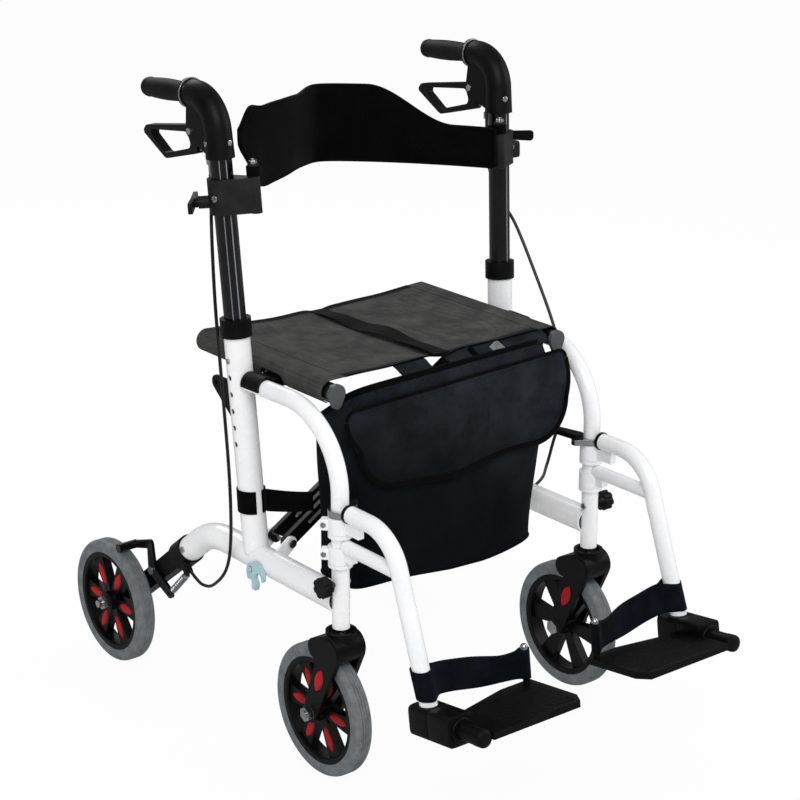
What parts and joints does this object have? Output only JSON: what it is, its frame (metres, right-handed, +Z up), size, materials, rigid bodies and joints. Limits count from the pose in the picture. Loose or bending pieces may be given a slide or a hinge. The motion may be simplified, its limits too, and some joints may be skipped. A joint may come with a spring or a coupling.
{
  "type": "rollator transport chair",
  "caption": "Folding rollator and transport chair with grooved tyres, swing-away footrests, sling seat, bag, bowed backrest and height-adjustable brake handles.",
  "frame": {"origin": "on the floor under the middle of the chair's box", "axes": "+Z up, footrests and casters face -Y, +X is the user's left"},
  "size_m": [0.6389, 0.9733, 0.9786],
  "materials": {
    "white_frame": "gloss white powder coat",
    "black_tube": "gloss black coat",
    "bright_metal": "bright zinc",
    "black_moulding": "fine satin grain",
    "lever_plastic": "satin",
    "rim_plastic": "satin, red inlays",
    "tyre_grey": "soft grey, grooved",
    "grip_rubber": "matt",
    "cable_sheath": "smooth",
    "seat_fabric": "coated weave",
    "bag_fabric": "fine weave",
    "pad_cover": "padded cover",
    "hook_plastic": "satin pale blue"
  },
  "bodies": {
    "left_frame": {"left_lower_tube": "white_frame", "left_upright": "white_frame", "left_front_tube": "white_frame", "left_frame_fittings": "black_moulding", "left_rear_socket": "black_moulding", "left_rear_axle": "bright_metal", "left_brake_cable": "cable_sheath", "bag": "bag_fabric"},
    "left_handle": {"left_handle_tube": "black_tube", "left_handle_housing": "black_moulding", "left_grip": "grip_rubber", "left_backrest_clamp": "black_moulding", "backrest_pad": "pad_cover"},
    "left_hanger": {"left_hanger_tube": "white_frame", "left_foot_pin": "black_moulding", "left_heel_strap": "bag_fabric"},
    "left_footplate": {"left_footplate": "black_moulding"},
    "left_caster": {"left_fork": "rim_plastic"},
    "left_caster_wheel": {"left_caster_rim": "rim_plastic", "left_caster_tyre": "tyre_grey"},
    "left_rear_wheel": {"left_rear_rim": "rim_plastic", "left_rear_tyre": "tyre_grey"},
    "left_brake_lever": {"left_brake_lever": "lever_plastic"},
    "left_brake_arm": {"left_brake_arm": "black_tube"},
    "left_latch_lever": {"left_latch_lever": "lever_plastic"},
    "left_frame_knob": {"left_frame_knob": "lever_plastic"},
    "left_wing_screw": {"left_wing_screw": "lever_plastic"},
    "left_height_button": {"left_height_button": "bright_metal"},
    "right_frame": {"right_lower_tube": "white_frame", "right_upright": "white_frame", "right_front_tube": "white_frame", "right_frame_fittings": "black_moulding", "right_rear_socket": "black_moulding", "right_rear_axle": "bright_metal", "right_brake_cable": "cable_sheath", "right_stow_hook": "hook_plastic"},
    "right_handle": {"right_handle_tube": "black_tube", "right_handle_housing": "black_moulding", "right_grip": "grip_rubber", "right_backrest_clamp": "black_moulding"},
    "right_hanger": {"right_hanger_tube": "white_frame", "right_foot_pin": "black_moulding", "right_heel_strap": "bag_fabric"},
    "right_footplate": {"right_footplate": "black_moulding"},
    "right_caster": {"right_fork": "rim_plastic"},
    "right_caster_wheel": {"right_caster_rim": "rim_plastic", "right_caster_tyre": "tyre_grey"},
    "right_rear_wheel": {"right_rear_rim": "rim_plastic", "right_rear_tyre": "tyre_grey"},
    "right_brake_lever": {"right_brake_lever": "lever_plastic"},
    "right_brake_arm": {"right_brake_arm": "black_tube"},
    "right_latch_lever": {"right_latch_lever": "lever_plastic"},
    "right_frame_knob": {"right_frame_knob": "lever_plastic"},
    "right_wing_screw": {"right_wing_screw": "lever_plastic"},
    "right_height_button": {"right_height_button": "bright_metal"},
    "brace_a": {"brace_a": "black_tube", "cross_bolt": "bright_metal", "seat_sling": "seat_fabric"},
    "brace_b": {"brace_b": "black_tube"},
    "bag_flap": {"bag_flap": "bag_fabric"}
  },
  "joints": [
    {"name": "fold", "type": "hinge", "parent": "left_frame", "child": "brace_a", "pos_m": [0.208, 0.009, 0.312], "axis": [0, 1, 0], "range_deg": [0, 38], "deforming": ["seat_sling", "bag", "bag_flap", "backrest_pad", "left_heel_strap", "right_heel_strap"]},
    {"name": "brace_cross", "type": "hinge", "parent": "brace_a", "child": "brace_b", "pos_m": [0, 0.009, 0.44194], "axis": [0, 1, 0], "range_deg": [-76, 0], "deforming": ["seat_sling", "bag", "bag_flap", "backrest_pad", "left_heel_strap", "right_heel_strap"]},
    {"name": "right_brace_foot", "type": "hinge", "parent": "brace_b", "child": "right_frame", "pos_m": [-0.208, 0.009, 0.312], "axis": [0, 1, 0], "range_deg": [0, 38], "deforming": ["seat_sling", "bag", "bag_flap", "backrest_pad", "left_heel_strap", "right_heel_strap"]},
    {"name": "left_footplate_flip", "type": "hinge", "parent": "left_hanger", "child": "left_footplate", "pos_m": [0.235, -0.39, 0.181], "axis": [0, 0.9903, -0.1392], "range_deg": [0, 90], "deforming": ["left_heel_strap"]},
    {"name": "right_footplate_flip", "type": "hinge", "parent": "right_hanger", "child": "right_footplate", "pos_m": [-0.235, -0.39, 0.181], "axis": [0, -0.9903, 0.1392], "range_deg": [0, 90], "deforming": ["right_heel_strap"]},
    {"name": "left_handle_height", "type": "slide", "parent": "left_frame", "child": "left_handle", "axis": [0.0313, 0.068, 0.9972], "range_m": [-0.125, 0], "deforming": ["left_brake_cable", "right_brake_cable", "left_height_button", "right_height_button", "backrest_pad"]},
    {"name": "right_handle_height", "type": "slide", "parent": "right_frame", "child": "right_handle", "axis": [-0.0313, 0.068, 0.9972], "range_m": [-0.125, 0], "deforming": ["left_brake_cable", "right_brake_cable", "left_height_button", "right_height_button", "backrest_pad"]},
    {"name": "left_brake_lever_squeeze", "type": "hinge", "parent": "left_handle", "child": "left_brake_lever", "pos_m": [0.2565, 0.12895, 0.9055], "axis": [0.9995, 0, -0.0314], "range_deg": [0, 14], "stiffness_Nm_per_rad": 1.2},
    {"name": "left_brake_arm_turn", "type": "hinge", "parent": "left_frame", "child": "left_brake_arm", "pos_m": [0.252, 0.2995, 0.175], "axis": [-1, 0, 0], "range_deg": [0, 1.68]},
    {"name": "left_caster_swivel", "type": "hinge", "parent": "left_frame", "child": "left_caster", "pos_m": [0.237, -0.174, 0.25], "axis": [0, 0, 1], "continuous": true},
    {"name": "left_caster_spin", "type": "hinge", "parent": "left_caster", "child": "left_caster_wheel", "pos_m": [0.237, -0.13, 0.1], "axis": [1, 0, 0], "continuous": true},
    {"name": "left_rear_spin", "type": "hinge", "parent": "left_frame", "child": "left_rear_wheel", "pos_m": [0.271, 0.3865, 0.1], "axis": [1, 0, 0], "continuous": true},
    {"name": "left_hanger_swing", "type": "hinge", "parent": "left_frame", "child": "left_hanger", "pos_m": [0.237, -0.174, 0.4], "axis": [0, 0, 1], "range_deg": [0, 90]},
    {"name": "left_latch_press", "type": "hinge", "parent": "left_frame", "child": "left_latch_lever", "pos_m": [0.213, -0.168, 0.42], "axis": [0, 0, -1], "range_deg": [0, 20], "stiffness_Nm_per_rad": 0.3},
    {"name": "left_knob_turn", "type": "hinge", "parent": "left_frame", "child": "left_frame_knob", "pos_m": [0.255, -0.174, 0.312], "axis": [1, 0, 0], "continuous": true},
    {"name": "left_wing_turn", "type": "hinge", "parent": "left_handle", "child": "left_wing_screw", "pos_m": [0.27769, 0.08761, 0.83245], "axis": [0.7809, 0.6211, -0.0669], "continuous": true},
    {"name": "left_height_button_press", "type": "slide", "parent": "left_handle", "child": "left_height_button", "axis": [-0.9995, 0, 0.0314], "range_m": [0, 0.005], "stiffness_N_per_m": 600},
    {"name": "right_brake_lever_squeeze", "type": "hinge", "parent": "right_handle", "child": "right_brake_lever", "pos_m": [-0.2565, 0.12895, 0.9055], "axis": [0.9995, 0, 0.0314], "range_deg": [0, 14], "stiffness_Nm_per_rad": 1.2},
    {"name": "right_brake_arm_turn", "type": "hinge", "parent": "right_frame", "child": "right_brake_arm", "pos_m": [-0.252, 0.2995, 0.175], "axis": [-1, 0, 0], "range_deg": [0, 1.68]},
    {"name": "right_caster_swivel", "type": "hinge", "parent": "right_frame", "child": "right_caster", "pos_m": [-0.237, -0.174, 0.25], "axis": [0, 0, 1], "continuous": true},
    {"name": "right_caster_spin", "type": "hinge", "parent": "right_caster", "child": "right_caster_wheel", "pos_m": [-0.237, -0.13, 0.1], "axis": [1, 0, 0], "continuous": true},
    {"name": "right_rear_spin", "type": "hinge", "parent": "right_frame", "child": "right_rear_wheel", "pos_m": [-0.271, 0.3865, 0.1], "axis": [1, 0, 0], "continuous": true},
    {"name": "right_hanger_swing", "type": "hinge", "parent": "right_frame", "child": "right_hanger", "pos_m": [-0.237, -0.174, 0.4], "axis": [0, 0, -1], "range_deg": [0, 90]},
    {"name": "right_latch_press", "type": "hinge", "parent": "right_frame", "child": "right_latch_lever", "pos_m": [-0.213, -0.168, 0.42], "axis": [0, 0, 1], "range_deg": [0, 20], "stiffness_Nm_per_rad": 0.3},
    {"name": "right_knob_turn", "type": "hinge", "parent": "right_frame", "child": "right_frame_knob", "pos_m": [-0.255, -0.174, 0.312], "axis": [1, 0, 0], "continuous": true},
    {"name": "right_wing_turn", "type": "hinge", "parent": "right_handle", "child": "right_wing_screw", "pos_m": [-0.27707, 0.08625, 0.8125], "axis": [0.7809, -0.6211, 0.0669], "continuous": true},
    {"name": "right_height_button_press", "type": "slide", "parent": "right_handle", "child": "right_height_button", "axis": [0.9995, 0, 0.0314], "range_m": [0, 0.005], "stiffness_N_per_m": 600},
    {"name": "bag_flap_lift", "type": "hinge", "parent": "left_frame", "child": "bag_flap", "pos_m": [0, -0.1443, 0.5555], "axis": [-1, 0, 0], "range_deg": [0, 100]}
  ],
  "couplings": [
    {"joint": "brace_cross", "follows": "fold", "ratio": -2},
    {"joint": "right_brace_foot", "follows": "fold", "ratio": 1},
    {"joint": "left_footplate_flip", "follows": "fold", "ratio": 2.3684},
    {"joint": "right_footplate_flip", "follows": "fold", "ratio": 2.3684},
    {"joint": "right_handle_height", "follows": "left_handle_height", "ratio": 1},
    {"joint": "left_brake_arm_turn", "follows": "left_brake_lever_squeeze", "ratio": 0.12},
    {"joint": "right_brake_arm_turn", "follows": "right_brake_lever_squeeze", "ratio": 0.12}
  ]
}
